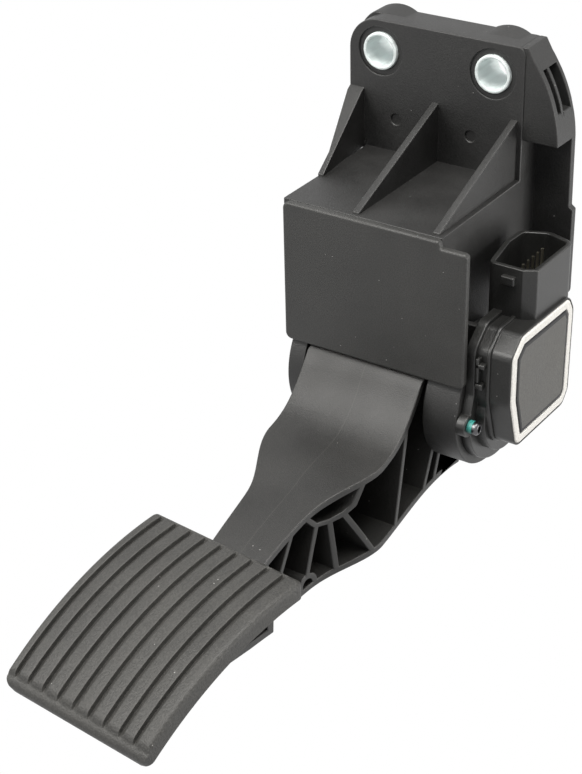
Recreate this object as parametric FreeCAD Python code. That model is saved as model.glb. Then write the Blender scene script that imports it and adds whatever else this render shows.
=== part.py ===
"""Accelerator pedal sensor: hanging pedal module with a contactless angle sensor on its pivot.

Millimetres. The origin is midway between the two bolt holes on the rear mounting face.
X runs to the sensor side, -Y towards the driver and Z up.
"""
import math
import os

import FreeCAD
import Part

V = FreeCAD.Vector

# Mounting plate and the box that hangs from it
BOLT_SPACING = 44.0
BUSH_BORE = 11.0
BUSH_OD = 13.4
BUSH_PROUD = 0.4
PLATE_T = 14.3
PLATE_TOP = 11.2
SHELF_Z = -36.0
WALL = 2.5
BOX_LEFT = -25.0
BOX_RIGHT = 34.0
BOX_FRONT = -67.5
FLOOR_Z = -116.0
CHEEK_R = 25.0
CHEEK_RIGHT = 43.0
FIN_TOP = -70.0
COVER_T = 2.5
COVER_BOTTOM = -88.5

# Pivot, hub and travel
PIVOT_Y = -46.0
PIVOT_Z = -102.0
SHAFT_R = 5.0
RUN_CLEAR = 0.05
BEARING_WALL = 2.0
HUB_R = 14.0
SIDE_CLEAR = 0.9
TRAVEL = math.radians(18.0)

# Pedal arm
ARM_X = 5.9
ARM_HALF = 23.0
FLANGE_T = 2.4
WEB_T = 3.0
RIB_T = 2.0
LEVER_R = 26.0
SHIELD_R = 24.8
NOSE_R = 5.0
LEVER_HALF_W = 9.0

# Foot pad, a slice of a large cylinder set square to its own frame
PAD_TOP = V(4.3, -149.6, -117.8)
PAD_YAW = math.radians(-5.8)
PAD_PITCH = math.radians(17.5)
PAD_W = 63.0
PAD_TAPER = 1.6
PAD_L = 77.5
PAD_RISE = 5.9
PAD_T = 6.0
PAD_BORDER = 3.2
FOOT_T = 4.0
GROOVES = 9
GROOVE_PITCH = 6.5
GROOVE_SHIFT = -1.0
GROOVE_W = 2.6
GROOVE_D = 1.5

# Sensor can and its socket on the right cheek
BASE_T = 3.5
CAN_FACE = 59.0
RIM = 0.7
BEAD_W = 3.3
LEDGE = 1.0
LID_T = 1.8
BOARD_X = 51.5
BOARD_T = 1.6
SOCKET_TOP = -51.0
SOCKET_FLOOR = -66.0
SOCKET_BOTTOM = -72.0
SOCKET_WALL = 1.8
PIN = 0.8
PIN_PITCH = 3.5
PIN_X = 48.5
PIN_BEND_Z = -78.0
SCREW_R = 1.6
SCREW_HEAD_R = 2.4
LOCK_GAP = 1.8
HEAD_CLEAR = 0.9

# Return springs and their seats
SEAT_R = 9.5
SEAT_T = 2.4
STEM_R = 3.6
SEAT_GAP = 0.2

PIVOT = (PIVOT_Y, PIVOT_Z)
NOSE_Y = PIVOT_Y + LEVER_R * math.cos(TRAVEL / 2)
NOSE_Z = PIVOT_Z - LEVER_R * math.sin(TRAVEL / 2)
CEILING_Z = SHELF_Z - WALL
FLOOR_TOP = FLOOR_Z + WALL
SPRING_TOP = CEILING_Z - 2.0
SEAT_BOTTOM = NOSE_Z + NOSE_R + SEAT_GAP
SPRING_FOOT = SEAT_BOTTOM + SEAT_T
ARM_LEFT = ARM_X - ARM_HALF - 0.3
ARM_RIGHT = ARM_X + ARM_HALF
SLOT_LEFT = ARM_LEFT - SIDE_CLEAR - 0.2
SLOT_RIGHT = ARM_RIGHT + SIDE_CLEAR
CAN_BACK = CHEEK_RIGHT
CAN_FLOOR = CAN_BACK + BASE_T
SCREWS = [(-68.0, -102.3), (-30.0, -116.0)]
SKIRT_R = min(math.hypot(y - PIVOT_Y, z - PIVOT_Z) for y, z in SCREWS) - SCREW_HEAD_R - HEAD_CLEAR
PAD_R = PAD_L ** 2 / (8 * PAD_RISE)

CAN_OUTLINE = [(-22, -70, 5), (-57, -69, 4), (-64, -75, 4), (-64, -93, 12), (-58.5, -112, 5),
               (-23, -112.6, 4), (-19, -108, 3), (-18.4, -76, 5)]
SOCKET_OUTLINE = [(40.5, -47.5, 3), (53.5, -47.5, 1.5), (57.6, -45, 1), (58, -19.5, 4), (47.5, -16, 6),
                  (38, -20, 4), (37.5, -30, 4)]

# Arm side view: upper and lower edges from the housing to the pad, as (y, z)
ARM_UPPER = [(-70, -90.2), (-73.4, -94.9), (-81.1, -103.3), (-86.9, -107.1), (-97, -109.9),
             (-104.5, -111.3), (-112.8, -113.2), (-118.7, -114.8), (-126.2, -116.5),
             (-133.3, -118.3), (-145.5, -121.9), (-151, -124.3)]
ARM_LOWER = [(-42, -136.6), (-54, -135.4), (-66.7, -136.2), (-80.3, -139), (-93.5, -142),
             (-101.3, -143.3), (-111.5, -144.8), (-119, -146), (-135, -147.2), (-143, -147.7)]
ARM_TOE = [(-143.3, -152), (-156, -150.6), (-176, -147.6), (-190, -143.5)]
ARM_HALF_WIDTH = [(-95, ARM_HALF), (-100, ARM_HALF - 1), (-105, ARM_HALF - 3), (-112, ARM_HALF - 6.5),
                  (-120, 13.2), (-130, 11.8), (-145, 10.9), (-175, 10.4)]
ARM_RIBS = [((-78, -98), (-86.5, -141)), ((-55, -106), (-68.5, -138)), ((-50, -106), (-61, -137)),
            ((-110, -122), (-98.5, -143)), ((-115, -123), (-112.5, -146)),
            ((-120, -122), (-125, -141)), ((-130.5, -116), (-142, -138))]
ARM_CRESCENT = [(-103, -112), (-106.6, -119.8), (-110.1, -122), (-115.1, -123), (-120.4, -122.2),
                (-126, -116)]


def box(x0, x1, y0, y1, z0, z1):
    return Part.makeBox(x1 - x0, y1 - y0, z1 - z0, V(x0, y0, z0))


def cyl_x(y, z, r, x0, x1):
    return Part.makeCylinder(r, x1 - x0, V(x0, y, z), V(1, 0, 0))


def cyl_y(x, z, r, y0, y1):
    return Part.makeCylinder(r, y1 - y0, V(x, y0, z), V(0, 1, 0))


def cyl_z(x, y, r, z0, z1):
    return Part.makeCylinder(r, z1 - z0, V(x, y, z0), V(0, 0, 1))


def ring_x(y, z, r_out, r_in, x0, x1):
    return cyl_x(y, z, r_out, x0, x1).cut(cyl_x(y, z, r_in, x0, x1))


def unit(a, b):
    length = math.hypot(a, b)
    return a / length, b / length


def outline(points, place):
    """Closed wire through (a, b, corner radius) points, put into space by place."""
    count = len(points)
    corners = []
    for i in range(count):
        a, b, r = (tuple(points[i]) + (0,))[:3]
        if r == 0:
            corners.append((V(a, b, 0), None, V(a, b, 0)))
            continue
        ua, ub = unit(points[i - 1][0] - a, points[i - 1][1] - b)
        following = points[(i + 1) % count]
        wa, wb = unit(following[0] - a, following[1] - b)
        half = math.acos(ua * wa + ub * wb) / 2
        reach = r / math.tan(half)
        ma, mb = unit(ua + wa, ub + wb)
        mid = r / math.sin(half) - r
        corners.append((V(a + ua * reach, b + ub * reach, 0), V(a + ma * mid, b + mb * mid, 0),
                        V(a + wa * reach, b + wb * reach, 0)))
    edges = []
    for i in range(count):
        start, mid, end = corners[i]
        if mid is not None:
            edges.append(Part.Arc(place(start.x, start.y), place(mid.x, mid.y),
                                  place(end.x, end.y)).toShape())
        after = corners[(i + 1) % count][0]
        if end.distanceToPoint(after) > 1e-6:
            edges.append(Part.makeLine(place(end.x, end.y), place(after.x, after.y)))
    return Part.Wire(edges)


def prism_x(points, x0, x1, inset=0):
    """Prism along X from a side view outline of (y, z) points, drawn in by inset."""
    face = Part.Face(outline(points, lambda a, b: V(x0, a, b)))
    if inset:
        face = Part.Face(face.makeOffset2D(-inset).Wires[0])
    return face.extrude(V(x1 - x0, 0, 0))


def prism_y(points, y0, y1):
    """Prism along Y from a front view outline of (x, z) points."""
    return Part.Face(outline(points, lambda a, b: V(a, y0, b))).extrude(V(0, y1 - y0, 0))


def prism_z(points, z0, z1, inset=0):
    """Prism along Z from a plan outline of (x, y) points, drawn in by inset."""
    face = Part.Face(outline(points, lambda a, b: V(a, b, z0)))
    if inset:
        face = Part.Face(face.makeOffset2D(-inset).Wires[0])
    return face.extrude(V(0, 0, z1 - z0))


def joined(shapes):
    return shapes[0].fuse(shapes[1:]).removeSplitter()


def curve(points, place):
    spline = Part.BSplineCurve()
    spline.interpolate([place(a, b) for a, b in points])
    return spline.toShape()


def loop(parts, place):
    """Closed wire from point lists: two points make a line, more make a smooth curve."""
    edges = []
    for points in parts:
        if len(points) == 2:
            edges.append(Part.makeLine(place(*points[0]), place(*points[1])))
        else:
            edges.append(curve(points, place))
    return Part.Wire(edges)


def strip(start, end, width, x0, x1):
    """Flat rib between two side view points, seen along X."""
    ua, ub = unit(end[0] - start[0], end[1] - start[1])
    na = -ub * width / 2
    nb = ua * width / 2
    return prism_x([(start[0] + na, start[1] + nb), (end[0] + na, end[1] + nb),
                    (end[0] - na, end[1] - nb), (start[0] - na, start[1] - nb)], x0, x1)


def shifted(points, amount):
    """Point list moved sideways by amount, to the left of its direction of travel."""
    moved = []
    for i, (a, b) in enumerate(points):
        before = points[max(i - 1, 0)]
        after = points[min(i + 1, len(points) - 1)]
        ua, ub = unit(after[0] - before[0], after[1] - before[1])
        moved.append((a - ub * amount, b + ua * amount))
    return moved


def swung(y, z, angle=TRAVEL):
    """Side view point after the pedal has been pressed by angle."""
    dy = y - PIVOT_Y
    dz = z - PIVOT_Z
    return (PIVOT_Y + dy * math.cos(angle) - dz * math.sin(angle),
            PIVOT_Z + dy * math.sin(angle) + dz * math.cos(angle))


def mount_plate():
    half = BOLT_SPACING / 2
    plate = prism_y([(-34.5, PLATE_TOP, 11.5), (BOX_RIGHT, PLATE_TOP, 3), (BOX_RIGHT, SHELF_Z),
                     (-27.5, SHELF_Z), (-34.5, -21, 5)], -PLATE_T, 0)
    humps = [cyl_y(side * half, 0, BUSH_OD / 2 + 6.3, -7.5, 0) for side in (-1, 1)]
    ear = prism_y([(BOX_RIGHT - 2, PLATE_TOP), (36.5, PLATE_TOP, 1.5), (49.3, -18, 2),
                   (46.8, -21.5, 1.5), (BOX_RIGHT - 2, -21.5)], 0.5 - PLATE_T, 0)
    flange = prism_y([(BOX_RIGHT - 2, -20), (47.5, -20), (47.5, -47, 0.8), (49, -48, 0.8),
                      (49, -82, 3), (BOX_RIGHT - 2, -82)], -3, 0)
    body = joined([plate, ear, flange] + humps)
    for y0, y1 in ((-11.2, -8.8), (-7.2, -1.8)):
        body = body.cut(prism_y([(42, 3.5), (36, 3.5), (43.5, -13.5), (50.5, -13.5)], y0, y1))
    for x in (-15.5, 14.2):
        body = body.cut(cyl_y(x, -24, 2.0, -PLATE_T - 1, -PLATE_T + 0.7))
    for x0, x1, z1 in ((-24.5, -12, -16), (-8.5, 8.5, 7.5), (12, 30.5, -16)):
        body = body.cut(box(x0, x1, -PLATE_T + 3, 1, SHELF_Z + 3.5, z1))
    for side in (-1, 1):
        body = body.cut(cyl_y(side * half, 0, BUSH_OD / 2, -PLATE_T - 1, 1))
        body = body.cut(cyl_y(side * half, 0, BUSH_OD / 2 + 2, -PLATE_T - 1, -PLATE_T + 0.8))
    return body


def stop_lug():
    """Downward lug that carries the full travel stop, set square to the pressed heel."""
    top = swung(-40.5, -128)
    low = swung(-42, -136.6)
    da, db = unit(low[0] - top[0], low[1] - top[1])
    face = [(p[0] - db * 3.3, p[1] + da * 3.3) for p in (top, low)]
    lug = prism_x([(-31.5, FLOOR_Z + 1), face[0], face[1], (face[1][0] + 7, face[1][1], 2),
                   (-17, FLOOR_Z + 1)], ARM_X - 10, ARM_X + 10)
    pad = [(p[0] - db * 0.3, p[1] + da * 0.3) for p in (top, low)]
    bumper = prism_x([pad[0], pad[1], face[1], face[0]], ARM_X - 8, ARM_X + 8)
    return lug, bumper


def bracket_housing():
    side = [(0, SHELF_Z), (BOX_FRONT, SHELF_Z), (BOX_FRONT, -100), (PIVOT_Y, PIVOT_Z),
            (-30, FLOOR_Z), (0, FLOOR_Z)]
    shell = prism_x(side, BOX_LEFT, BOX_RIGHT)
    cheeks = [cyl_x(*PIVOT, CHEEK_R, BOX_LEFT, SLOT_LEFT), cyl_x(*PIVOT, CHEEK_R, SLOT_RIGHT, CHEEK_RIGHT)]
    shelf = box(-27.5, BOX_RIGHT, BOX_FRONT, -PLATE_T + 1, CEILING_Z, SHELF_Z)
    gussets = []
    for x0, x1, reach in ((-34.5, -25, -46), (-1.1, 1.6, -66), (29.5, 32.2, -66)):
        rib = prism_x([(-PLATE_T + 1, -14.5), (-PLATE_T, -14.5), (reach, SHELF_Z + 0.6),
                       (reach, SHELF_Z - 1), (-PLATE_T + 1, SHELF_Z - 1)], x0, x1)
        gussets.append(rib)
    splay = prism_z([(-34.5, -10), (-34.5, -16), (-28.3, -38), (-27.5, -50), (-25, -50), (-28.5, -16),
                     (-28.5, -10)], -60, 0)
    gussets[0] = gussets[0].common(splay)
    fins = [box(BOX_RIGHT - 1, CHEEK_RIGHT, y, y + WALL, -90, top)
            for y, top in ((BOX_FRONT, SHELF_Z - 5), (-58.0, FIN_TOP))]
    body = joined([shell, shelf] + cheeks + gussets + fins)
    room = prism_x([(-3, CEILING_Z), (-80, CEILING_Z), (-80, -140), (-32, -140), (-32, FLOOR_TOP),
                    (-3, FLOOR_TOP)], SLOT_LEFT, SLOT_RIGHT)
    body = body.cut(room)
    for y0, y1 in ((-64, -45), (-42.5, -24), (-21.5, -3)):
        body = body.cut(box(BOX_LEFT - 1, BOX_LEFT + 4, y0, y1, -76, CEILING_Z))
    body = body.cut(box(BOX_LEFT - 1, BOX_LEFT + 4, -18, -3, FLOOR_TOP, -79))
    body = joined([body, mount_plate(), stop_lug()[0]])
    bore = SHAFT_R + BEARING_WALL
    body = body.cut(cyl_x(*PIVOT, bore, BOX_LEFT + 1.5, SLOT_LEFT + 1))
    body = body.cut(cyl_x(*PIVOT, bore, SLOT_RIGHT - 1, CHEEK_RIGHT + 1))
    body = body.cut(ring_x(*PIVOT, 15, 13, CHEEK_RIGHT - 1.2, CHEEK_RIGHT + 1))
    for y, z in SCREWS:
        body = body.cut(cyl_x(y, z, SCREW_R, CHEEK_RIGHT - 8, CHEEK_RIGHT + 1))
    return body


def mount_bush(x):
    bush = cyl_y(x, 0, BUSH_OD / 2, -PLATE_T - BUSH_PROUD, 0)
    bush = bush.cut(cyl_y(x, 0, BUSH_BORE / 2, -PLATE_T - 1, 1))
    rims = [e for e in bush.Edges if abs(e.CenterOfMass.y + PLATE_T + BUSH_PROUD) < 1e-6]
    return bush.makeChamfer(0.4, rims)


def front_cover():
    front = BOX_FRONT - COVER_T
    plate = prism_y([(-26.5, -36.2, 2.5), (33.8, -36.2, 1.2), (34.6, -38.6, 0.6), (44.5, -38.6, 1.5),
                     (44.5, COVER_BOTTOM, 2.5), (-26.5, COVER_BOTTOM, 2.5)], front, BOX_FRONT)
    rims = [e for e in plate.Edges if abs(e.CenterOfMass.y - front) < 1e-6]
    plate = plate.makeFillet(0.9, rims)
    tongues = [box(x, x + 2, BOX_FRONT, BOX_FRONT + 8, -72, -46)
               for x in (SLOT_LEFT, SLOT_RIGHT - 2)]
    return joined([plate] + tongues)


def bearing(x0, x1, flange_x0, flange_x1):
    sleeve = cyl_x(*PIVOT, SHAFT_R + BEARING_WALL, x0, x1)
    flange = cyl_x(*PIVOT, SHAFT_R + BEARING_WALL + 2, flange_x0, flange_x1)
    bore = cyl_x(*PIVOT, SHAFT_R + RUN_CLEAR, x0 - 2, x1 + 2)
    return joined([sleeve, flange]).cut(bore)


def arm_plan(left_inset, right_reach):
    """Upright prism with the arm's tapering plan, drawn in on the left and let out on the right."""
    left = [(ARM_X - half + left_inset, y) for y, half in ARM_HALF_WIDTH]
    right = [(ARM_X + half + right_reach, y) for y, half in reversed(ARM_HALF_WIDTH)]
    rear_left = (left[0][0], -20)
    rear_right = (right[-1][0], -20)
    wire = loop([[rear_left, left[0]], left, [left[-1], right[0]], right, [right[-1], rear_right],
                 [rear_right, rear_left]], lambda a, b: V(a, b, -200))
    return Part.Face(wire).extrude(V(0, 0, 150))


def arm_side(x0):
    shield = []
    for step in range(5):
        turn = math.radians(57 - 6.5 * step)
        shield.append((PIVOT_Y - SHIELD_R * math.cos(turn), PIVOT_Z + SHIELD_R * math.sin(turn)))
    turn = math.radians(60)
    lip = (PIVOT_Y - 21.6 * math.cos(turn), PIVOT_Z + 21.6 * math.sin(turn))
    toe_top = pad_point(0, 42, -PAD_T - FOOT_T / 2)
    heel = (-40.5, -128)
    hub_low = (-38, -112)
    hub_top = (-44, -90)
    return loop([shield, [shield[-1], ARM_UPPER[0]], ARM_UPPER,
                 [ARM_UPPER[-1], (toe_top.y, toe_top.z)], [(toe_top.y, toe_top.z), ARM_TOE[-1]],
                 [ARM_TOE[-1], ARM_TOE[-2]], [ARM_TOE[-2], ARM_TOE[-3]], [ARM_TOE[-3], ARM_TOE[0]],
                 [ARM_TOE[0], ARM_LOWER[-1]], list(reversed(ARM_LOWER)), [ARM_LOWER[0], heel],
                 [heel, hub_low], [hub_low, hub_top], [hub_top, lip], [lip, shield[0]]],
                lambda a, b: V(x0, a, b))


def arm_pockets():
    """Everything hollowed out of the right side of the arm, between its flanges and ribs."""
    upper = shifted(ARM_UPPER, FLANGE_T)[:-1]
    lower = shifted(ARM_LOWER, -FLANGE_T)[:-1]
    wire = loop([upper, [upper[-1], lower[-1]], list(reversed(lower)), [lower[0], (-43, -112)],
                 [(-43, -112), (-52, -93)], [(-52, -93), (-62, -88)], [(-62, -88), upper[0]]],
                lambda a, b: V(-40, a, b))
    space = Part.Face(wire).extrude(V(100, 0, 0))
    under_pad = [prism_x([(-146.5, -133.5), (-158, -136), (-158, -147.8), (-146.5, -149.2)], -40, 60),
                 prism_x([(-160, -136.4), (-174, -139), (-174, -145.4), (-160, -147.5)], -40, 60)]
    ribs = [strip(start, end, RIB_T, -40, 60) for start, end in ARM_RIBS]
    ribs += [strip(ARM_CRESCENT[i], ARM_CRESCENT[i + 1], RIB_T, -40, 60)
             for i in range(len(ARM_CRESCENT) - 1)]
    ribs += [cyl_x(y, z, RIB_T / 2, -40, 60) for y, z in ARM_CRESCENT[1:-1]]
    ribs.append(ring_x(-124.8, -144, 4.6, 2.4, -40, 60))
    ribs.append(cyl_x(*PIVOT, HUB_R, -40, 60))
    space = space.cut(ribs).fuse(under_pad)
    return space.common(arm_plan(WEB_T, 20))


def pad_point(u, v, n):
    """Point at u across, v down and n above the flat chord of the pad's top face."""
    across = V(math.cos(PAD_YAW), math.sin(PAD_YAW), 0)
    level = V(math.sin(PAD_YAW), -math.cos(PAD_YAW), 0)
    down = level * math.cos(PAD_PITCH) + V(0, 0, -math.sin(PAD_PITCH))
    return PAD_TOP + across * u + down * v + across.cross(-down) * n


def onto_pad(shape):
    """Carry a shape from the pad's own frame (across, up the pad, outwards) into place."""
    origin = pad_point(0, 0, 0)
    across = pad_point(1, 0, 0) - origin
    upward = origin - pad_point(0, 1, 0)
    outward = pad_point(0, 0, 1) - origin
    matrix = FreeCAD.Matrix(across.x, upward.x, outward.x, origin.x,
                            across.y, upward.y, outward.y, origin.y,
                            across.z, upward.z, outward.z, origin.z, 0, 0, 0, 1)
    moved = shape.copy()
    moved.Placement = FreeCAD.Placement(matrix)
    return moved


def pad_arc(points, v0, v1):
    """Sweep (across, height) points round the pad's cylinder from v0 to v1 down the pad."""
    axis_at = V(0, -PAD_L / 2, PAD_RISE - PAD_R)
    lift = [V(a, -PAD_L / 2, PAD_RISE + b) for a, b in points]
    face = Part.Face(Part.makePolygon(lift + [lift[0]]))
    start = math.degrees(math.asin((v0 - PAD_L / 2) / PAD_R))
    end = math.degrees(math.asin((v1 - PAD_L / 2) / PAD_R))
    face.rotate(axis_at, V(1, 0, 0), start)
    return face.revolve(axis_at, V(1, 0, 0), end - start)


def pad_plan(margin):
    half = PAD_W / 2 - margin
    return prism_z([(-half, -margin, 3), (half, -margin, 3),
                    (half - PAD_TAPER, margin - PAD_L, 4.5), (PAD_TAPER - half, margin - PAD_L, 4.5)],
                   -40, 40)


def pad_slab(top, bottom, margin):
    half = PAD_W / 2 + 2
    slab = pad_arc([(-half, bottom), (half, bottom), (half, top), (-half, top)], -3, PAD_L + 3)
    return slab.common(pad_plan(margin))


def pedal_arm():
    body = Part.Face(arm_side(-40)).extrude(V(100, 0, 0)).common(arm_plan(0, 0))
    body = body.cut(arm_pockets())
    hub = cyl_x(*PIVOT, HUB_R, ARM_LEFT + 0.3, ARM_RIGHT)
    lever = strip(PIVOT, (NOSE_Y, NOSE_Z), 2 * NOSE_R - 4.4, ARM_X - LEVER_HALF_W,
                  ARM_X + LEVER_HALF_W)
    nose = cyl_x(NOSE_Y, NOSE_Z, NOSE_R, ARM_X - LEVER_HALF_W, ARM_X + LEVER_HALF_W)
    foot = onto_pad(pad_slab(-PAD_T, -PAD_T - FOOT_T, 5))
    body = joined([body, hub, lever, nose, foot])
    for peg in pad_pegs():
        body = body.cut(peg)
    return body.cut(cyl_x(*PIVOT, SHAFT_R, -40, 60))


def pad_pegs():
    """Pegs under the pad that press through the foot plate."""
    return [onto_pad(cyl_z(u, -v, 3, PAD_RISE - PAD_T - FOOT_T - 5, PAD_RISE - PAD_T))
            for u, v in ((-20, 18), (20, 18), (-18, 58), (18, 58))]


def pedal_pad():
    slab = pad_slab(0, -PAD_T, 0)
    top = max(slab.Faces, key=lambda f: f.CenterOfMass.z)
    slab = slab.makeFillet(2.0, top.Edges)
    first = GROOVE_SHIFT - GROOVE_PITCH * (GROOVES - 1) / 2
    for i in range(GROOVES):
        mid = first + i * GROOVE_PITCH
        notch = [(mid - GROOVE_W / 2, 0.3), (mid - GROOVE_W / 2 + 0.6, -GROOVE_D),
                 (mid + GROOVE_W / 2, 0.3)]
        slab = slab.cut(pad_arc(notch, -4, PAD_L - PAD_BORDER + 0.6))
    wide = PAD_W / 2 - 3
    step = [(-wide, -GROOVE_D + 0.4), (wide, -GROOVE_D + 0.4), (wide, 1), (-wide, 1)]
    slab = slab.cut(pad_arc(step, PAD_L - PAD_BORDER, PAD_L + 4))
    return onto_pad(slab).fuse(pad_pegs()).removeSplitter()


def pivot_shaft():
    shaft = cyl_x(*PIVOT, SHAFT_R, BOX_LEFT + 2.2, CHEEK_RIGHT + 0.4)
    return joined([shaft, cyl_x(*PIVOT, 2.5, CHEEK_RIGHT, CHEEK_RIGHT + 3)])


def magnet_carrier():
    cup = cyl_x(*PIVOT, 4.6, CHEEK_RIGHT + 0.6, CHEEK_RIGHT + 5.6)
    cup = cup.cut(cyl_x(*PIVOT, 2.5, CHEEK_RIGHT, CHEEK_RIGHT + 3))
    return cup.cut(cyl_x(*PIVOT, 3, CHEEK_RIGHT + 4, CHEEK_RIGHT + 6))


def magnet():
    return cyl_x(*PIVOT, 3, CHEEK_RIGHT + 4, CHEEK_RIGHT + 6.2)


def pin_places():
    return [-32.5 + (i - 2.5) * PIN_PITCH for i in range(6)]


def terminal_pins():
    half = PIN / 2
    pins = []
    for y in pin_places():
        upright = box(PIN_X - half, PIN_X + half, y - half, y + half, PIN_BEND_Z - half, -54)
        tail = box(PIN_X - half, BOARD_X + BOARD_T + 0.8, y - half, y + half, PIN_BEND_Z - half,
                   PIN_BEND_Z + half)
        pins.append(joined([upright, tail]))
    return Part.makeCompound(pins)


def sensor_housing():
    base = prism_x(CAN_OUTLINE, CAN_BACK, CAN_FACE)
    lobes = []
    for (y, z), (dy, dz) in zip(SCREWS, ((8, 0), (0, 8))):
        lobes.append(cyl_x(y, z, 4, CAN_BACK, CAN_FLOOR))
        lobes.append(box(CAN_BACK, CAN_FLOOR, y - 4 * (dy == 0), y + 4 * (dy == 0) + dy,
                         z - 4 * (dz == 0) + min(dz, 0), z + 4 * (dz == 0) + max(dz, 0)))
    socket = prism_z(SOCKET_OUTLINE, SOCKET_BOTTOM, SOCKET_TOP)
    latch = box(46, 51, -49.3, -47, -57, -54)
    skirts = [prism_x(CAN_OUTLINE, x0, x1, -out)
              for x0, x1, out in ((CAN_BACK, CAN_FLOOR, 1.6), (50, 51.5, 0.8))]
    rounds = [cyl_x(*PIVOT, CHEEK_R - 3, CAN_BACK, CAN_FLOOR),
              cyl_x(*PIVOT, SKIRT_R, CAN_FLOOR, 50)]
    body = joined([base, socket, latch] + lobes + skirts + rounds)
    body = body.cut(prism_z(SOCKET_OUTLINE, SOCKET_FLOOR, SOCKET_TOP + 1, SOCKET_WALL))
    body = body.cut(prism_x(CAN_OUTLINE, CAN_FLOOR, CAN_FACE + 1, RIM + BEAD_W + LEDGE))
    body = body.cut(prism_x(CAN_OUTLINE, CAN_FACE - LID_T, CAN_FACE + 1, RIM))
    posts = [cyl_x(y, z, 1.8, CAN_FLOOR, BOARD_X) for y, z in ((-55, -80), (-27, -83), (-28, -104))]
    body = joined([body] + posts)
    body = body.cut(cyl_x(*PIVOT, 5.2, CAN_BACK - 1, CAN_FLOOR + 1))
    for y, z in SCREWS:
        body = body.cut(cyl_x(y, z, SCREW_R, CAN_BACK - 1, CAN_FLOOR + 1))
    half = PIN / 2
    for y in pin_places():
        body = body.cut(box(PIN_X - half, PIN_X + half, y - half, y + half, PIN_BEND_Z, -54))
    return body


def circuit_board():
    board = prism_x(CAN_OUTLINE, BOARD_X, BOARD_X + BOARD_T, RIM + BEAD_W + LEDGE + 0.3)
    half = PIN / 2
    for y in pin_places():
        board = board.cut(box(BOARD_X - 1, BOARD_X + 3, y - half, y + half, PIN_BEND_Z - half,
                              PIN_BEND_Z + half))
    return board


def hall_sensors():
    chips = [box(BOARD_X - 1.1, BOARD_X, PIVOT_Y + side * 2.4 - 1.9, PIVOT_Y + side * 2.4 + 1.9,
                 PIVOT_Z - 2.5, PIVOT_Z + 2.5) for side in (-1, 1)]
    return Part.makeCompound(chips)


def sensor_lid():
    lid = prism_x(CAN_OUTLINE, CAN_FACE - LID_T, CAN_FACE + 0.3, RIM + BEAD_W)
    rims = [e for e in lid.Edges if abs(e.CenterOfMass.x - CAN_FACE - 0.3) < 1e-6]
    return lid.makeChamfer(0.9, rims)


def lid_sealant():
    outer = prism_x(CAN_OUTLINE, CAN_FACE - LID_T, CAN_FACE + 0.2, RIM)
    rims = [e for e in outer.Edges if abs(e.CenterOfMass.x - CAN_FACE - 0.2) < 1e-6]
    outer = outer.makeChamfer(0.5, rims)
    return outer.cut(prism_x(CAN_OUTLINE, CAN_FACE - 4, CAN_FACE + 1, RIM + BEAD_W))


def sensor_screw(y, z):
    under = CAN_FLOOR + LOCK_GAP
    head = cyl_x(y, z, SCREW_HEAD_R, under, under + 2)
    rims = [e for e in head.Edges if abs(e.CenterOfMass.x - under - 2) < 1e-6]
    head = head.makeChamfer(0.6, rims)
    star = []
    for i in range(12):
        turn = math.radians(30 * i)
        reach = 1.45 if i % 2 == 0 else 1.05
        star.append((y + reach * math.cos(turn), z + reach * math.sin(turn)))
    head = head.cut(prism_x(star, under + 0.8, under + 3))
    return joined([head, cyl_x(y, z, SCREW_R, CHEEK_RIGHT - 8, under)])


def coil(mid_r, wire, turns):
    """Square-wire compression spring standing between its two seats."""
    height = SPRING_TOP - SPRING_FOOT - wire
    path = Part.makeHelix(height / turns, height, mid_r)
    half = wire / 2
    corners = [V(mid_r + a * half, 0, b * half) for a, b in ((-1, -1), (1, -1), (1, 1), (-1, 1))]
    section = Part.makePolygon(corners + [corners[0]])
    spring = Part.Wire(path).makePipeShell([section], True, True)
    spring.translate(V(ARM_X, NOSE_Y, SPRING_FOOT + half))
    return spring


def upper_seat():
    return joined([cyl_z(ARM_X, NOSE_Y, SEAT_R, SPRING_TOP, CEILING_Z),
                   cyl_z(ARM_X, NOSE_Y, STEM_R, SPRING_TOP - 18, SPRING_TOP)])


def lower_seat():
    return joined([cyl_z(ARM_X, NOSE_Y, SEAT_R, SEAT_BOTTOM, SPRING_FOOT),
                   cyl_z(ARM_X, NOSE_Y, STEM_R, SPRING_FOOT, SPRING_FOOT + 22)])


def idle_bumper():
    return prism_z([(ARM_X - 7, NOSE_Y - 5, 2), (ARM_X + 7, NOSE_Y - 5, 2),
                    (ARM_X + 7, NOSE_Y + 5, 2), (ARM_X - 7, NOSE_Y + 5, 2)],
                   FLOOR_TOP, NOSE_Z - NOSE_R - 0.1)


LOCK_RINGS = [ring_x(y, z, SCREW_R + 0.7, SCREW_R, CAN_FLOOR, CAN_FLOOR + LOCK_GAP)
              for y, z in SCREWS]

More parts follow.
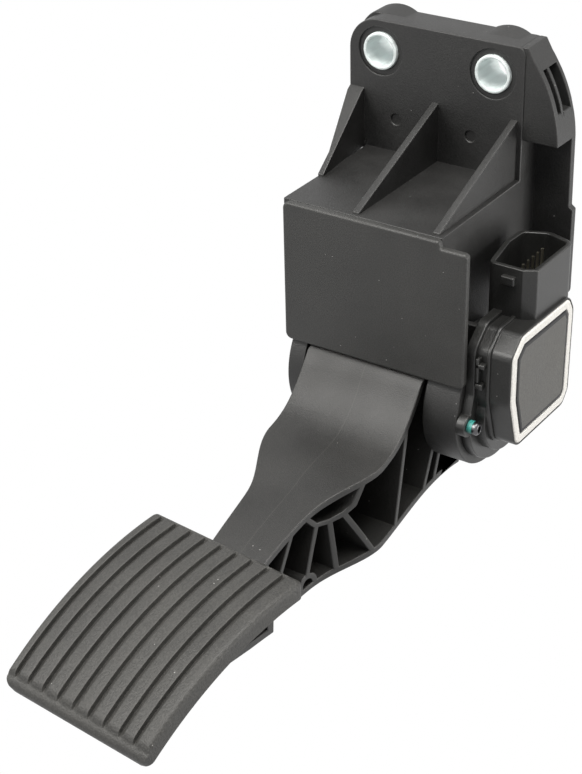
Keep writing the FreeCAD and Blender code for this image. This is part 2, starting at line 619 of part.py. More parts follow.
PARTS = {
    "bracket_housing": bracket_housing(),
    "mount_bush_left": mount_bush(-BOLT_SPACING / 2),
    "mount_bush_right": mount_bush(BOLT_SPACING / 2),
    "front_cover": front_cover(),
    "bearing_left": bearing(BOX_LEFT + 1.5, SLOT_LEFT, SLOT_LEFT, SLOT_LEFT + 0.8),
    "bearing_right": bearing(SLOT_RIGHT, CHEEK_RIGHT - 1.5, SLOT_RIGHT - 0.6, SLOT_RIGHT),
    "idle_stop_bumper": idle_bumper(),
    "full_stop_bumper": stop_lug()[1],
    "spring_upper_seat": upper_seat(),
    "return_spring_outer": coil(7.9, 1.9, 4),
    "return_spring_inner": coil(5.2, 1.3, 5),
    "spring_lower_seat": lower_seat(),
    "sensor_housing": sensor_housing(),
    "sensor_gasket": ring_x(*PIVOT, 15, 13, CHEEK_RIGHT - 1.2, CHEEK_RIGHT),
    "circuit_board": circuit_board(),
    "hall_sensors": hall_sensors(),
    "terminal_pins": terminal_pins(),
    "sensor_lid": sensor_lid(),
    "lid_sealant": lid_sealant(),
    "sensor_screws": Part.makeCompound([sensor_screw(y, z) for y, z in SCREWS]),
    "thread_lock_rings": Part.makeCompound(LOCK_RINGS),
    "pedal_arm": pedal_arm(),
    "pedal_pad": pedal_pad(),
    "pivot_shaft": pivot_shaft(),
    "magnet_carrier": magnet_carrier(),
    "magnet": magnet(),
}

os.makedirs("parts", exist_ok=True)
for name, shape in PARTS.items():
    shape.exportStep("parts/" + name + ".step")
    solids = len(shape.Solids)
    print(name, solids, round(shape.Volume / 1000, 2), "cm3", shape.isValid())
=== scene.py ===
"""Accelerator pedal sensor: the hanging pedal module in a plain white studio."""

import math

import bmesh
import bpy
from mathutils import Matrix, Vector


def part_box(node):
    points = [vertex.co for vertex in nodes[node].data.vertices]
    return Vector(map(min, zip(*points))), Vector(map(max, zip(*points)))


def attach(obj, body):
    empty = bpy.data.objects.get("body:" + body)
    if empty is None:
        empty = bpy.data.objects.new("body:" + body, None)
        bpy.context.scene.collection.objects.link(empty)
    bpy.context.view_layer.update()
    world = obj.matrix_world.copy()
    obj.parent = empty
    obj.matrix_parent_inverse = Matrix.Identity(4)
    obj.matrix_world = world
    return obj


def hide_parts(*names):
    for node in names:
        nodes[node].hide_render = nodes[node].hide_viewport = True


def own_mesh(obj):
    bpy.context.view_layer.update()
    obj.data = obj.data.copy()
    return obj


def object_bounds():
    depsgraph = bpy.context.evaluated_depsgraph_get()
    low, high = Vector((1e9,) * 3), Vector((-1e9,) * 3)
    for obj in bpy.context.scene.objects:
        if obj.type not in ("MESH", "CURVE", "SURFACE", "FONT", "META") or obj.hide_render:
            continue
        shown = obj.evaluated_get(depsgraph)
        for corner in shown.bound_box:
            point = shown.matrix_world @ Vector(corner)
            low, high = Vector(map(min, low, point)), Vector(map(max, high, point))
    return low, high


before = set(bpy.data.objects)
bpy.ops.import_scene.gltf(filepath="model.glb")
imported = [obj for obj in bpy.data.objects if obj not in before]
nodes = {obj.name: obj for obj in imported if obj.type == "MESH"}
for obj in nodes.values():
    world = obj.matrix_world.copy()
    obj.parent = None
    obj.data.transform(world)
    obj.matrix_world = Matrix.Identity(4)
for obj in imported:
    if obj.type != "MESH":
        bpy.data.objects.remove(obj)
cad_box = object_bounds()
scene = bpy.context.scene
scene.view_settings.view_transform = "Standard"


# Bracket housing: one black glass-filled nylon moulding that bolts to the bulkhead.
# Its skin is satin with a fine spark grain, and its edges are painted paler: partly rubbing wear,
# partly a painted highlight.
def node(material, kind, **settings):
    made = material.node_tree.nodes.new(kind)
    for key, value in settings.items():
        if hasattr(made, key):
            setattr(made, key, value)
        else:
            made.inputs[key.replace("_", " ")].default_value = value
    return made


def link(material, a, out, b, socket):
    material.node_tree.links.new(a.outputs[out], b.inputs[socket])


def blank(name):
    material = bpy.data.materials.new(name)
    material.use_nodes = True
    material.node_tree.nodes.clear()
    return material


def ramp(material, source, low, high, dark, light):
    made = node(material, "ShaderNodeValToRGB")
    made.color_ramp.elements[0].position = low
    made.color_ramp.elements[1].position = high
    made.color_ramp.elements[0].color = (*dark, 1)
    made.color_ramp.elements[1].color = (*light, 1)
    link(material, source, 0, made, "Fac")
    return made


def maths(material, operation, *values):
    """Math node fed by plain numbers and by (node, output) pairs."""
    made = node(material, "ShaderNodeMath", operation=operation)
    for i, value in enumerate(values):
        if isinstance(value, tuple):
            link(material, value[0], value[1], made, i)
        else:
            made.inputs[i].default_value = value
    return made


def shade(colour, factor):
    return tuple(min(1.0, c * factor) for c in colour)


def laid_over(material, amount, under, colour):
    """Lay a plain colour over another, by the amount that a node gives."""
    made = node(material, "ShaderNodeMixRGB", Color2=(*colour, 1))
    link(material, amount, 0, made, "Fac")
    link(material, under, 0, made, "Color1")
    return made


def surfaced(material, colour, rough, bump, metal=0.0):
    """End a material in one surface with this colour, roughness and bump."""
    surface = node(material, "ShaderNodeBsdfPrincipled", Metallic=metal)
    link(material, colour, 0, surface, "Base Color")
    link(material, rough, 0, surface, "Roughness")
    link(material, bump, 0, surface, "Normal")
    output = node(material, "ShaderNodeOutputMaterial")
    link(material, surface, 0, output, "Surface")
    return material


# Paler edges, part rubbing wear and part painted highlight: their width and how much paler they
# are
RUB_AND_HIGHLIGHT_WIDTH = 0.0011
RUB_AND_HIGHLIGHT_SHADE = 2.2
DUST_COLOUR = (0.42, 0.41, 0.40)
DUST_SIZE = 0.06
DUST_CHANCE = 0.84
FLOW_SHADE = 4.0
FLOW_STRENGTH = 0.32
FLOW_WANDER = 0.0024
FLOW_WIDTH = 0.00014


def moulded_plastic(name, colour, grain=2200, grain_depth=0.4, gloss=(0.38, 0.56), rub_and_highlight=0.3,
                    dust=0.5, seam=None):
    """Black moulding: cloudy tone, spark-eroded grain, edges paler from rubbing and a painted
    highlight, dust caught on its skin.
    """
    m = blank(name)
    place = node(m, "ShaderNodeTexCoord")
    cloud = node(m, "ShaderNodeTexNoise", Scale=38.0, Detail=5.0, Roughness=0.6)
    skin = node(m, "ShaderNodeTexNoise", Scale=float(grain), Detail=3.0, Roughness=0.55)
    specks = node(m, "ShaderNodeTexVoronoi", Scale=330.0)
    for texture in (cloud, skin, specks):
        link(m, place, "Object", texture, "Vector")
    tone = ramp(m, cloud, 0.3, 0.72, shade(colour, 0.78), shade(colour, 1.22))
    fleck = ramp(m, skin, 0.40, 0.60, (0.62, 0.62, 0.62), (1, 1, 1))
    grained = node(m, "ShaderNodeMixRGB", blend_type="MULTIPLY", Fac=1.0)
    link(m, tone, 0, grained, "Color1")
    link(m, fleck, 0, grained, "Color2")
    # Rubbed edges with a painted highlight: paler where a rounded normal leaves the true one
    rounded = node(m, "ShaderNodeBevel", samples=6, Radius=RUB_AND_HIGHLIGHT_WIDTH)
    shape = node(m, "ShaderNodeNewGeometry")
    agree = node(m, "ShaderNodeVectorMath", operation="DOT_PRODUCT")
    link(m, rounded, 0, agree, 0)
    link(m, shape, "Normal", agree, 1)
    edge = node(m, "ShaderNodeMapRange", From_Min=0.995, From_Max=0.88, To_Max=rub_and_highlight)
    link(m, agree, "Value", edge, "Value")
    rubbed_and_highlighted = laid_over(m, edge, grained, shade(colour, RUB_AND_HIGHLIGHT_SHADE))
    # Dust: the middles of small cells, of which each cell's chance colour leaves a few
    pick = node(m, "ShaderNodeSeparateColor")
    link(m, specks, "Color", pick, 0)
    spot = maths(m, "LESS_THAN", (specks, "Distance"), DUST_SIZE)
    few = maths(m, "GREATER_THAN", (pick, 0), DUST_CHANCE)
    both = maths(m, "MULTIPLY", (spot, 0), (few, 0))
    painted = laid_over(m, maths(m, "MULTIPLY", (both, 0), dust), rubbed_and_highlighted, DUST_COLOUR)
    if seam is not None:
        # Flow line left by the mould: a faint pale thread that wanders about one place across
        axes = node(m, "ShaderNodeSeparateXYZ")
        link(m, place, "Object", axes, 0)
        wander = maths(m, "MULTIPLY_ADD", (cloud, 0), FLOW_WANDER, (axes, "X"))
        line = maths(m, "COMPARE", (wander, 0), seam + FLOW_WANDER / 2, FLOW_WIDTH)
        faint = maths(m, "MULTIPLY", (line, 0), FLOW_STRENGTH)
        painted = laid_over(m, faint, painted, shade(colour, FLOW_SHADE))
    rough = node(m, "ShaderNodeMapRange", From_Min=0.3, From_Max=0.7,
                 To_Min=gloss[0], To_Max=gloss[1])
    link(m, cloud, 0, rough, "Value")
    bump = node(m, "ShaderNodeBump", Strength=grain_depth, Distance=0.00025)
    link(m, skin, 0, bump, "Height")
    return surfaced(m, painted, rough, bump)


def place_piece(piece, body):
    scene.collection.objects.link(piece)
    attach(piece, body)
    return piece


def piece_from(shape, name, material, smooth=True):
    """Object made from a finished bmesh, which is then let go."""
    for face in shape.faces:
        face.smooth = smooth
    mesh = bpy.data.meshes.new(name)
    shape.to_mesh(mesh)
    shape.free()
    mesh.materials.append(material)
    return bpy.data.objects.new(name, mesh)


SAME_POINT = 2e-6
NEAR = 1e-5
FLAT = math.radians(1.0)
SHARP = math.radians(35.0)
CREASE = math.radians(48.0)


def round_edges(shape, edges, radius, steps):
    bmesh.ops.bevel(shape, geom=edges, offset=radius, affect="EDGES", segments=steps,
                    profile=0.5, material=-1)


def softened(name, material, radius, body="bracket", steps=2, ease=None):
    """Copy of a solid with its edges rounded over, shown in place of the sharp one."""
    shape = bmesh.new()
    shape.from_mesh(nodes[name].data)
    bmesh.ops.remove_doubles(shape, verts=shape.verts, dist=SAME_POINT)
    if ease:
        ease(shape)
    bmesh.ops.dissolve_limit(shape, angle_limit=FLAT, verts=shape.verts, edges=shape.edges)
    outer = [e for e in shape.edges
             if e.is_manifold and e.is_convex and e.calc_face_angle() > SHARP]
    round_edges(shape, outer, radius, steps)
    for edge in shape.edges:
        edge.smooth = not edge.is_manifold or edge.calc_face_angle() < CREASE
    for face in shape.faces:
        face.material_index = 0
    piece = piece_from(shape, name + "_soft", material)
    evened = piece.modifiers.new("even_normals", "WEIGHTED_NORMAL")
    evened.keep_sharp = True
    place_piece(piece, body)
    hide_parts(name)
    return piece


housing_black = moulded_plastic("housing_black", (0.0165, 0.0163, 0.0159))
PLATE_TOP = 0.0112
HUMP_FRONT = -0.0075
EAR_ROOT = 0.0340
EAR_FOOT = -0.0215
EAR_REACH = 0.0473
EAR_BOW = 0.0520
EAR_BOW_Z = -0.0240
EAR_CORNER = 0.0006
EAR_CUTS = (0.0092, 0.0072, 0.0052, 0.0014, -0.0008, -0.0032, -0.0056, -0.0082,
            -0.0132, -0.0156, -0.0180)
EAR_LOWEST = -0.0190
EAR_RIM = 0.99
SLOT_END = -0.0135
SLOT_LIFT = Vector((-0.00118, 0, 0.0027))


def ear_faces(shape):
    return [f for f in shape.faces
            if all(c.co.x > EAR_ROOT - NEAR and c.co.z > EAR_FOOT - NEAR for c in f.verts)]


def ease_bracket(shape):
    """Let the humps rise from the plate's top as ramps, and bow the ear's outer edge."""
    for corner in shape.verts:
        if abs(corner.co.y - HUMP_FRONT) < NEAR and corner.co.z > PLATE_TOP:
            corner.co.z = PLATE_TOP
    bmesh.ops.dissolve_limit(shape, angle_limit=FLAT, verts=shape.verts, edges=shape.edges)
    for height in EAR_CUTS:
        ear = ear_faces(shape)
        ear_edges = list({e for f in ear for e in f.edges})
        ear_corners = list({c for f in ear for c in f.verts})
        bmesh.ops.bisect_plane(shape, geom=ear + ear_edges + ear_corners,
                               plane_co=(0, 0, height), plane_no=(0, 0, 1))
    corners = {c for f in ear_faces(shape) for c in f.verts if c.co.x > EAR_ROOT + NEAR}
    for corner in corners:
        if abs(corner.co.z - SLOT_END) < NEAR:
            corner.co += SLOT_LIFT
    edge = {}
    for corner in corners:
        level = round(corner.co.z, 5)
        edge[level] = max(edge.get(level, 0.0), corner.co.x)
    for corner in corners:
        share = (corner.co.x - EAR_ROOT) / (edge[round(corner.co.z, 5)] - EAR_ROOT)
        if corner.co.z > max(EAR_CUTS):
            corner.co.z = PLATE_TOP
        elif corner.co.z < EAR_LOWEST and share > EAR_RIM:
            corner.co.z = EAR_FOOT
        rise = corner.co.z - EAR_BOW_Z
        bow = EAR_REACH - EAR_BOW + math.sqrt(EAR_BOW ** 2 - rise ** 2)
        corner.co.x = EAR_ROOT + share * max(bow - EAR_ROOT, EAR_CORNER)
    bmesh.ops.remove_doubles(shape, verts=shape.verts, dist=SAME_POINT)


softened("bracket_housing", housing_black, 0.0004, ease=ease_bracket)


def add_box(shape, low, high):
    middle = Matrix.Translation((low + high) / 2)
    size = Matrix.Diagonal((*(high - low), 1))
    bmesh.ops.create_cube(shape, size=1.0, matrix=middle @ size)


# A small web closes the inner corner where the left gusset meets the plate and the shelf
WEB_LOW = Vector((-0.0312, -0.0142, -0.0376))
WEB_HIGH = Vector((-0.0265, -0.0090, -0.0345))
WEB_ROUND = 0.0006
web = bmesh.new()
add_box(web, WEB_LOW, WEB_HIGH)
round_edges(web, web.edges[:], WEB_ROUND, 3)
corner_web = piece_from(web, "corner_web", housing_black, smooth=False)
place_piece(corner_web, "bracket")


# Mounting bushes: drawn steel tubes with bright zinc plate, pressed into the bracket.
# The plate has a faint blue-green tint and fine turning marks round the bore.
def plated_steel(name, colour, roughness, streak=0.25, metal=1.0, draw=(1, 1, 1)):
    m = blank(name)
    place = node(m, "ShaderNodeTexCoord")
    drawn = node(m, "ShaderNodeMapping", Scale=draw)
    link(m, place, "Object", drawn, "Vector")
    brush = node(m, "ShaderNodeTexNoise", Scale=900.0, Detail=4.0)
    cloud = node(m, "ShaderNodeTexNoise", Scale=160.0, Detail=4.0)
    link(m, drawn, 0, brush, "Vector")
    link(m, drawn, 0, cloud, "Vector")
    tone = ramp(m, cloud, 0.3, 0.7, shade(colour, 0.82), shade(colour, 1.08))
    rough = node(m, "ShaderNodeMapRange", To_Min=roughness * 0.75, To_Max=roughness * 1.3)
    link(m, cloud, 0, rough, "Value")
    bump = node(m, "ShaderNodeBump", Strength=streak, Distance=0.00006)
    link(m, brush, 0, bump, "Height")
    return surfaced(m, tone, rough, bump, metal)


TURNED_CREASE = math.radians(40)


def turned(name, profile, centre, axis, material, steps=72):
    """Ring turned from (radius, distance along the axis) points, as on a lathe."""
    shape = bmesh.new()
    along = Vector(axis)
    out = Vector((1, 0, 0)) if abs(along.x) < 0.5 else Vector((0, 1, 0))
    points = [shape.verts.new(Vector(centre) + out * r + along * d) for r, d in profile]
    edges = [shape.edges.new((a, b)) for a, b in zip(points, points[1:] + points[:1])]
    bmesh.ops.spin(shape, geom=points + edges, cent=centre, axis=axis, angle=math.tau,
                   steps=steps, use_merge=True)
    bmesh.ops.recalc_face_normals(shape, faces=shape.faces)
    piece = piece_from(shape, name, material)
    piece.data.set_sharp_from_angle(angle=TURNED_CREASE)
    return piece


BORE = 0.0055
ROUND = 0.0004
ROUND_MID = 0.3 * ROUND
zinc = plated_steel("zinc_plate", (0.74, 0.79, 0.785), 0.7, metal=0.55, draw=(3, 0.25, 3))
for side in ("left", "right"):
    low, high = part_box("mount_bush_" + side)
    outer = (high.x - low.x) / 2
    front = low.y - high.y
    rim = [(BORE, 0), (BORE, front + ROUND), (BORE + ROUND_MID, front + ROUND_MID),
           (BORE + ROUND, front), (outer - ROUND, front),
           (outer - ROUND_MID, front + ROUND_MID), (outer, front + ROUND), (outer, 0)]
    centre = ((low.x + high.x) / 2, high.y, (low.z + high.z) / 2)
    bush = turned("zinc_bush_" + side, rim, centre, (0, 1, 0), zinc)
    place_piece(bush, "bracket")
    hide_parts("mount_bush_" + side)


# Front cover: a flat nylon plate snapped over the open front of the housing.
# It is the flattest face on the module, so its even grain and its rubbed edges with their painted
# highlight show most.
cover_black = moulded_plastic("cover_black", (0.032, 0.0317, 0.0303), gloss=(0.42, 0.55))
softened("front_cover", cover_black, 0.0003)


# Pivot: ground shaft in two natural acetal sleeves, between the housing's cheeks.
# Rubber bumpers end the travel, and the return springs stand between two acetal seats.
def plain_skin(name, colour, roughness, scale=300.0, depth=0.2):
    m = blank(name)
    place = node(m, "ShaderNodeTexCoord")
    cloud = node(m, "ShaderNodeTexNoise", Scale=scale, Detail=4.0)
    link(m, place, "Object", cloud, "Vector")
    tone = ramp(m, cloud, 0.3, 0.7, shade(colour, 0.85), shade(colour, 1.12))
    rough = node(m, "ShaderNodeMapRange", To_Min=roughness * 0.85,
                 To_Max=min(1.0, roughness * 1.15))
    link(m, cloud, 0, rough, "Value")
    bump = node(m, "ShaderNodeBump", Strength=depth, Distance=0.0001)
    link(m, cloud, 0, bump, "Height")
    return surfaced(m, tone, rough, bump)


def finish_node(name, material):
    """Give a solid its finish, leaving its mesh as it is."""
    mesh = nodes[name].data
    mesh.materials.clear()
    mesh.materials.append(material)


finish_node("pivot_shaft", plated_steel("ground_steel", (0.55, 0.55, 0.56), 0.22))
acetal = plain_skin("natural_acetal", (0.75, 0.73, 0.66), 0.45)
seat_grey = plain_skin("grey_acetal", (0.16, 0.16, 0.17), 0.5)
rubber = plain_skin("stop_rubber", (0.022, 0.022, 0.022), 0.8, 900.0, 0.5)
for name in ("bearing_left", "bearing_right"):
    finish_node(name, acetal)
for name in ("spring_upper_seat", "spring_lower_seat"):
    finish_node(name, seat_grey)
for name in ("idle_stop_bumper", "full_stop_bumper"):
    finish_node(name, rubber)


# Return springs: two nested coils of drawn steel wire, one inside the other.
# On the pedal they shorten between their seats as it goes down; here they are wound at one
# length.
STEPS_A_TURN = 40


def coiled(name, radius, wire, turns, foot, height, material):
    """Compression spring wound from a round wire section by a rising spin."""
    shape = bmesh.new()
    steps = turns * STEPS_A_TURN
    start = Matrix.Translation(foot + Vector((radius, 0, 0)))
    upright = Matrix.Rotation(math.pi / 2, 4, "X")
    bmesh.ops.create_circle(shape, segments=12, radius=wire / 2, matrix=start @ upright)
    bmesh.ops.spin(shape, geom=shape.verts[:] + shape.edges[:], cent=foot, axis=(0, 0, 1),
                   dvec=(0, 0, height / steps), angle=math.tau * turns, steps=steps)
    bmesh.ops.holes_fill(shape, edges=[e for e in shape.edges if e.is_boundary], sides=0)
    bmesh.ops.recalc_face_normals(shape, faces=shape.faces)
    return piece_from(shape, name, material)


spring_wire = plated_steel("spring_wire", (0.42, 0.42, 0.43), 0.35)
for name, wire, turns in (("return_spring_outer", 0.0019, 4), ("return_spring_inner", 0.0013, 5)):
    low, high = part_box(name)
    middle = (low + high) / 2
    foot = Vector((middle.x, middle.y, low.z + wire / 2))
    radius = (high.x - low.x - wire) / 2
    coil = coiled(name + "_coil", radius, wire, turns, foot, high.z - low.z - wire, spring_wire)
    place_piece(coil, "bracket")
    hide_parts(name)
    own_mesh(coil)


# Sensor housing: a black can with its connector socket, screwed to the right cheek.
# It is moulded from a finer, slightly glossier plastic than the bracket.
sensor_black = moulded_plastic("sensor_black", (0.019, 0.019, 0.0183), grain_depth=0.25,
                               gloss=(0.26, 0.40))
softened("sensor_housing", sensor_black, 0.0004)

# The can's wall has a small snap hook over a lug, beside the edge of the front cover
HOOK_FRONT = -0.0664
HOOK_BACK = -0.0638
HOOK_ROUND = 0.00025
HOOK_BARS = [(0.0470, 0.0482, -0.0860, -0.0770), (0.0470, 0.0502, -0.0805, -0.0790),
             (0.0470, 0.0496, -0.0885, -0.0865)]
hook = bmesh.new()
for x0, x1, z0, z1 in HOOK_BARS:
    add_box(hook, Vector((x0, HOOK_FRONT, z0)), Vector((x1, HOOK_BACK, z1)))
round_edges(hook, hook.edges[:], HOOK_ROUND, 2)
place_piece(piece_from(hook, "snap_hook", sensor_black), "bracket")
finish_node("sensor_gasket", plain_skin("gasket_silicone", (0.25, 0.10, 0.06), 0.6))


# Inside the can: laminate board with two angle chips facing the magnet on the shaft.
# Six tin-plated brass pins run up from it into the socket.
finish_node("circuit_board", plain_skin("solder_mask", (0.03, 0.16, 0.07), 0.35))
finish_node("hall_sensors", plain_skin("chip_resin", (0.02, 0.02, 0.02), 0.5))
finish_node("terminal_pins", plated_steel("tin_plate", (0.72, 0.68, 0.55), 0.3))
finish_node("magnet_carrier", plain_skin("carrier_acetal", (0.10, 0.10, 0.10), 0.5))
finish_node("magnet", plated_steel("sintered_magnet", (0.22, 0.22, 0.23), 0.5))


# Lid and sealant: a grained plastic lid set in a bead of white silicone.
# The bead is laid by hand, so it is a little uneven and has a soft sheen.
LID_INNER = 0.955
LID_FLAT = 0.9
lid_grey = moulded_plastic("lid_grey", (0.082, 0.0794, 0.0715), grain_depth=0.5, dust=0.7)
# Near-black painted shade for the shadowed groove between the lid and the bead
lid_painted_shade = moulded_plastic("lid_rim_painted_shade", (0.010, 0.010, 0.012), rub_and_highlight=0.0, dust=0.2,
                          gloss=(0.6, 0.7))
lid = softened("sensor_lid", lid_grey, 0.00015)
lid.data.materials.append(lid_painted_shade)
# The middle of its face is grey, and the black border round it, with the rest of the lid, is
# painted shade for the shadowed groove by the bead
shape = bmesh.new()
shape.from_mesh(lid.data)
outer = max(shape.faces, key=lambda f: f.calc_area() * f.normal.x)
inner = bmesh.ops.extrude_discrete_faces(shape, faces=[outer])["faces"][0]
middle = inner.calc_center_median()
for corner in inner.verts:
    corner.co = middle + (corner.co - middle) * LID_INNER
for face in shape.faces:
    face.smooth = abs(face.normal.x) < LID_FLAT
    face.material_index = int(face is not inner)
shape.to_mesh(lid.data)
shape.free()
silicone = plain_skin("white_silicone", (0.80, 0.785, 0.755), 0.6, 1300.0, 0.3)
softened("lid_sealant", silicone, 0.0003, steps=3)


# Sensor screws: dark star-drive steel screws that hold the can to the right cheek.
# Teal thread-lock has squeezed out under their heads.
screw_black = plated_steel("dark_screw", (0.13, 0.13, 0.135), 0.28)
softened("sensor_screws", screw_black, 0.00012)
finish_node("thread_lock_rings", plain_skin("teal_thread_lock", (0.035, 0.22, 0.195), 0.35))


# Pedal arm: a long black nylon moulding with open ribs along its right side.
# Its top is smooth and satin, with a broad sheen where it bends under the cover.
arm_black = moulded_plastic("arm_black", (0.0135, 0.0131, 0.0121), gloss=(0.37, 0.52),
                            dust=0.7, seam=0.0068)
softened("pedal_arm", arm_black, 0.0004, "pedal")


# Foot pad: a curved grooved tread pressed onto the arm's foot by four pegs.
# Shoe soles dull the tops of its ribs; here the whole tread is one warm grey.
PAD_TOP = Vector((0.0043, -0.1496, -0.1178))
PAD_YAW = math.radians(-5.8)
PAD_PITCH = math.radians(17.5)
PAD_W = 0.0630
PAD_L = 0.0775
PAD_TAPER = 0.0016
PAD_RISE = 0.0059
PAD_T = 0.0060
PAD_R = PAD_L ** 2 / (8 * PAD_RISE)
GROOVES = 9
GROOVE_PITCH = 0.0065
GROOVE_SHIFT = -0.0010
GROOVE_W = 0.0024
GROOVE_D = 0.0015
GROOVE_WALL = 0.0004
GROOVE_LIP = 0.0001
RIB_FALL = PAD_L - 0.0064
RIB_END = PAD_L - 0.0034
NOSE = 0.0034
GROOVE_START = 0.0007
GROOVE_RUN = 0.0014
SQUEEZE = 0.0120
SIDE_ROUND = 0.0016
SIDE_STEPS = 5
TOP_CORNER = 0.0024
LOW_CORNER = 0.0032
PAD_RINGS = 170
PAD_UNDER = -0.99 * PAD_T
PAD_CREASE = math.radians(22)
PAD_PEGS = [(-0.020, 0.018), (0.020, 0.018), (-0.018, 0.058), (0.018, 0.058)]
PEG_R = 0.003
PEG_L = 0.009


def round_off(distance, radius):
    """How far a quarter-round edge has fallen away at this distance in from the side."""
    short = min(radius, max(0.0, radius - distance))
    return radius - math.sqrt(radius ** 2 - short ** 2)


def share_of(distance, run):
    return max(0.0, min(1.0, distance / run))


half = PAD_W / 2
quarter = []
for step in range(SIDE_STEPS + 1):
    turn = math.radians(90 / SIDE_STEPS * step)
    quarter.append((SIDE_ROUND * (1 - math.cos(turn)), SIDE_ROUND * (math.sin(turn) - 1)))
section = [(-half, -PAD_T)] + [(inwards - half, n) for inwards, n in quarter]
for i in range(GROOVES):
    mid = GROOVE_SHIFT + GROOVE_PITCH * (i - (GROOVES - 1) / 2)
    left = mid - GROOVE_W / 2
    right = mid + GROOVE_W / 2
    section += [(left - GROOVE_LIP, 0), (left + GROOVE_LIP * 0.4, -GROOVE_LIP * 0.6),
                (left + GROOVE_WALL, -GROOVE_D), (left + GROOVE_WALL + GROOVE_LIP, -GROOVE_D),
                (right - GROOVE_LIP, -GROOVE_LIP * 0.7), (right + GROOVE_LIP, 0)]
section += [(half - inwards, n) for inwards, n in reversed(quarter)]
section.append((half, -PAD_T))

# The section is swept round the pad's long radius, then its ends, its corners and the ends
# of its grooves are shaped
pad = bmesh.new()
sweep = 2 * math.asin(PAD_L / 2 / PAD_R)
ring = [pad.verts.new((u, 0, PAD_R + n)) for u, n in section]
edges = [pad.edges.new((a, b)) for a, b in zip(ring, ring[1:] + ring[:1])]
bmesh.ops.rotate(pad, verts=ring, cent=(0, 0, 0), matrix=Matrix.Rotation(-sweep / 2, 3, "X"))
bmesh.ops.spin(pad, geom=ring + edges, cent=(0, 0, 0), axis=(1, 0, 0), angle=sweep,
               steps=PAD_RINGS)
for corner in pad.verts:
    turn = math.atan2(-corner.co.y, corner.co.z)
    along = PAD_L / 2 + math.sin(turn) * PAD_R
    depth = math.hypot(corner.co.y, corner.co.z) - PAD_R
    inside = half - PAD_TAPER * along / PAD_L
    inside -= round_off(along, TOP_CORNER) + round_off(PAD_L - along, LOW_CORNER)
    share = max(0.0, (abs(corner.co.x) - half + SQUEEZE) / SQUEEZE)
    corner.co.x -= math.copysign((half - inside) * share, corner.co.x)
    if depth > PAD_UNDER:
        if abs(corner.co.x) < inside - SIDE_ROUND:
            depth *= share_of(along - GROOVE_START, GROOVE_RUN)
        fallen = GROOVE_D * share_of(along - RIB_FALL, RIB_END - RIB_FALL) ** 2
        nose = round_off(PAD_L - along, NOSE)
        depth = min(depth, -round_off(along, SIDE_ROUND), -fallen - nose)
        reach = (PAD_R + depth) / math.hypot(corner.co.y, corner.co.z)
        corner.co.y *= reach
        corner.co.z *= reach
bmesh.ops.holes_fill(pad, edges=[e for e in pad.edges if e.is_boundary], sides=0)
bmesh.ops.recalc_face_normals(pad, faces=pad.faces)
for u, v in PAD_PEGS:
    peg_place = Matrix.Translation((u, PAD_L / 2 - v, PAD_R - PAD_T - PEG_L / 2))
    bmesh.ops.create_cone(pad, cap_ends=True, segments=32, radius1=PEG_R, radius2=PEG_R,
                          depth=PEG_L, matrix=peg_place)

# Placed square to the shoe: turned a little inwards and leaning back, as on the solid
across = Vector((math.cos(PAD_YAW), math.sin(PAD_YAW), 0))
level = Vector((math.sin(PAD_YAW), -math.cos(PAD_YAW), 0))
down = level * math.cos(PAD_PITCH) + Vector((0, 0, -math.sin(PAD_PITCH)))
outward = across.cross(-down)
stand = Matrix((across, -down, outward)).transposed().to_4x4()
centre = PAD_TOP + down * (PAD_L / 2) + outward * (PAD_RISE - PAD_R)
bmesh.ops.transform(pad, verts=pad.verts, matrix=Matrix.Translation(centre) @ stand)
pad_grey = moulded_plastic("pad_grey", (0.040, 0.0388, 0.0357), grain=1500, grain_depth=1.0,
                           gloss=(0.45, 0.62), dust=0.8)
tread = piece_from(pad, "tread_pad", pad_grey)
tread.data.set_sharp_from_angle(angle=PAD_CREASE)
place_piece(tread, "pedal")
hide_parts("pedal_pad")


# Studio: a wide pale floor below the hanging module and a plain surround.
# Both look white to the eye but throw only a dim light, so that black plastic stays black.
WHITE = (1, 1, 1, 1)
FLOOR_GREY = (0.3, 0.3, 0.3, 1)
FLOOR_HALF = 3.0
FLOOR_DROP = 0.25


def white_to_eye(m, dim, white, output):
    """Show white to the camera, through glass and off gloss, and the dim shader otherwise."""
    path = node(m, "ShaderNodeLightPath")
    through = maths(m, "MAXIMUM", (path, "Is Camera Ray"), (path, "Is Transmission Ray"))
    seen = maths(m, "MAXIMUM", (through, 0), (path, "Is Glossy Ray"))
    mix = node(m, "ShaderNodeMixShader")
    link(m, seen, 0, mix, 0)
    link(m, dim, 0, mix, 1)
    link(m, white, 0, mix, 2)
    link(m, mix, 0, node(m, output), "Surface")


low, high = cad_box
floor_paint = blank("floor_paint")
matt = node(floor_paint, "ShaderNodeBsdfDiffuse", Color=FLOOR_GREY)
glow = node(floor_paint, "ShaderNodeEmission", Color=WHITE, Strength=1.0)
white_to_eye(floor_paint, matt, glow, "ShaderNodeOutputMaterial")
shape = bmesh.new()
bmesh.ops.create_grid(shape, x_segments=1, y_segments=1, size=FLOOR_HALF,
                      matrix=Matrix.Translation((0, 0, low[2] - FLOOR_DROP)))
floor = piece_from(shape, "studio_floor", floor_paint, smooth=False)
scene.collection.objects.link(floor)

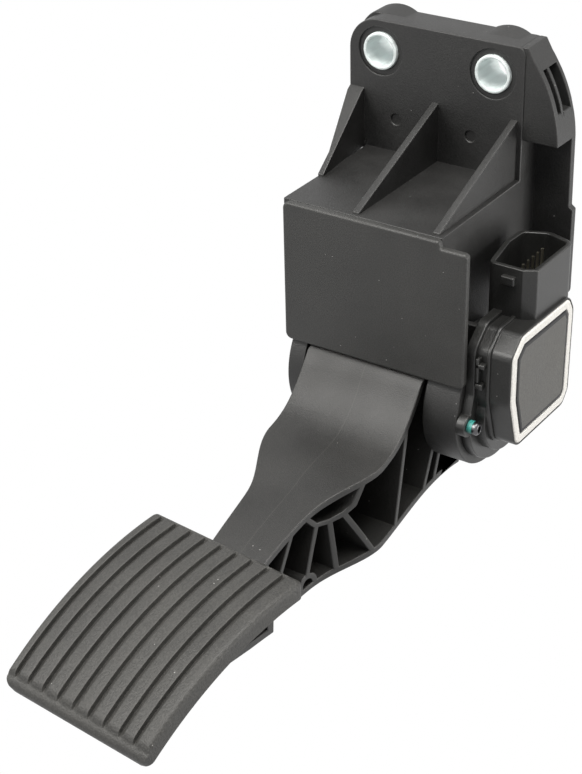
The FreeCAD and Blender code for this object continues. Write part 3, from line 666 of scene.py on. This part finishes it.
world = bpy.data.worlds.new("studio_white")
world.use_nodes = True
world.node_tree.nodes.clear()
place = node(world, "ShaderNodeTexCoord")
height = node(world, "ShaderNodeSeparateXYZ")
link(world, place, "Generated", height, 0)
climb = node(world, "ShaderNodeMapRange", From_Min=-0.3, From_Max=0.9, To_Min=0.10, To_Max=0.50)
link(world, height, "Z", climb, "Value")
fill = node(world, "ShaderNodeBackground", Color=WHITE)
link(world, climb, 0, fill, "Strength")
white = node(world, "ShaderNodeBackground", Color=WHITE, Strength=1.0)
white_to_eye(world, fill, white, "ShaderNodeOutputWorld")
scene.world = world

LAMP_TINT = (1.0, 0.985, 0.95)


def softbox(name, place, aim, width, height, watts):
    lamp = bpy.data.lights.new(name, "AREA")
    lamp.shape = "RECTANGLE"
    lamp.size = width
    lamp.size_y = height
    lamp.energy = watts
    lamp.color = LAMP_TINT
    holder = bpy.data.objects.new(name, lamp)
    holder.location = place
    facing = Vector(aim) - Vector(place)
    holder.rotation_euler = facing.to_track_quat("-Z", "Y").to_euler()
    scene.collection.objects.link(holder)


aim = (0.0, -0.09, -0.08)
softbox("key_softbox", (-0.60, -0.80, 0.70), aim, 0.7, 0.7, 12)
softbox("top_softbox", (0.18, -0.22, 0.95), aim, 0.8, 0.6, 16)
softbox("side_softbox", (0.95, 0.30, -0.12), aim, 0.5, 0.6, 6)


# Camera: a long lens at the photograph's viewing angle, level within a degree or so.
# Its place and lens were fitted to points read from the photograph.
camera = bpy.data.cameras.new("photo_camera")
camera.sensor_fit = "VERTICAL"
camera.sensor_height = 36.0
camera.lens = 84.8
camera.clip_start = 0.01
viewer = bpy.data.objects.new("photo_camera", camera)
right = Vector((0.8303, 0.55696, -0.02022))
up = Vector((-0.26675, 0.429, 0.86302))
back = Vector((0.48934, -0.71117, 0.50477))
turn = Matrix((right, up, back)).transposed().to_4x4()
viewer.matrix_world = Matrix.Translation((0.29262, -0.53089, 0.21914)) @ turn
scene.collection.objects.link(viewer)
scene.camera = viewer
